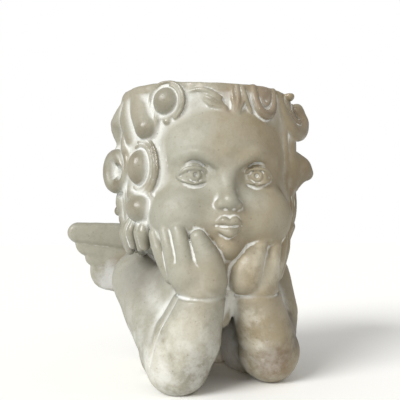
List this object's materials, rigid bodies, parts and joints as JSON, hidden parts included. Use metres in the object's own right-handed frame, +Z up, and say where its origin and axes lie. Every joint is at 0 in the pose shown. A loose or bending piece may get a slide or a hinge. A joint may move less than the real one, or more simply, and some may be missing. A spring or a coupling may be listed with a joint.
{
  "type": "putto statue planter",
  "caption": "Winged infant resting its head in both hands and its elbows on the ground, cast in one piece, with a round planting cavity in the flat top of the head.",
  "frame": {"origin": "middle of the bounding box in X and Y, at the level that the elbows and the trunk stand on", "axes": "+Z up, -Y the way the body faces, +X towards the putto's left hand; the head is turned 10 degrees towards -X"},
  "size_m": [0.14, 0.1203, 0.1521],
  "materials": {
    "cast_cement": "smooth matt cast cement with a white bloom left in the recesses and rubbed high spots"
  },
  "bodies": {
    "root": {"putto_planter": "cast_cement"}
  },
  "joints": []
}
